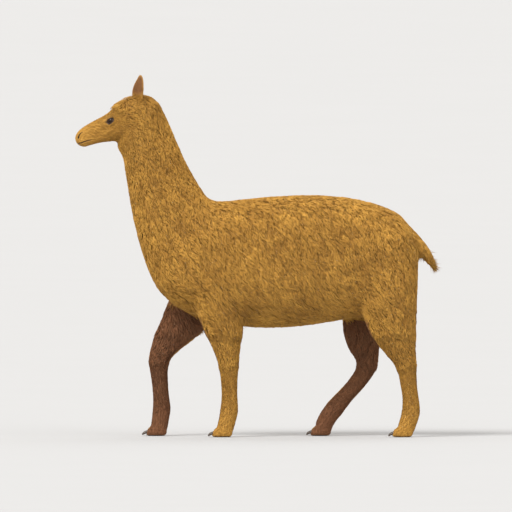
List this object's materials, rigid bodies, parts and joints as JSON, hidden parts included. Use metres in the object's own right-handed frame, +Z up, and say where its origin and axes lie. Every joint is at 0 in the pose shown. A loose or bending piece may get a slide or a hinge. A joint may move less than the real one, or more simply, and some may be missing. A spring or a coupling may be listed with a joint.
{
  "type": "llama",
  "caption": "Life-size llama, museum style, standing still in a pacing walk: long woolly neck, banana ears, two-toed feet flat on the floor.",
  "frame": {"origin": "on the floor, below the middle of the animal's box", "axes": "+Z up, -Y the way the animal faces, +X its left side"},
  "size_m": [0.5078, 1.7592, 1.755],
  "materials": {
    "coat": "matte golden brown wool, dark brown on the inner side of the legs",
    "hide": "matte dark skin: nose, lips, eyelids and foot pads, tanned under the coat",
    "eye": "wet gloss, very dark brown",
    "nail": "satin dark horn"
  },
  "bodies": {
    "root": {"head": "coat", "jaw": "coat", "ear_left": "coat", "ear_right": "coat", "eye_left": "eye", "eye_right": "eye", "neck": "coat", "trunk": "coat", "tail": "coat", "foreleg_left_upper": "coat", "foreleg_left_shank": "coat", "foreleg_left_foot": "hide", "foreleg_left_nail_inner": "nail", "foreleg_left_nail_outer": "nail", "foreleg_right_upper": "coat", "foreleg_right_shank": "coat", "foreleg_right_foot": "hide", "foreleg_right_nail_inner": "nail", "foreleg_right_nail_outer": "nail", "hindleg_left_upper": "coat", "hindleg_left_shank": "coat", "hindleg_left_foot": "hide", "hindleg_left_nail_inner": "nail", "hindleg_left_nail_outer": "nail", "hindleg_right_upper": "coat", "hindleg_right_shank": "coat", "hindleg_right_foot": "hide", "hindleg_right_nail_inner": "nail", "hindleg_right_nail_outer": "nail"}
  },
  "joints": []
}
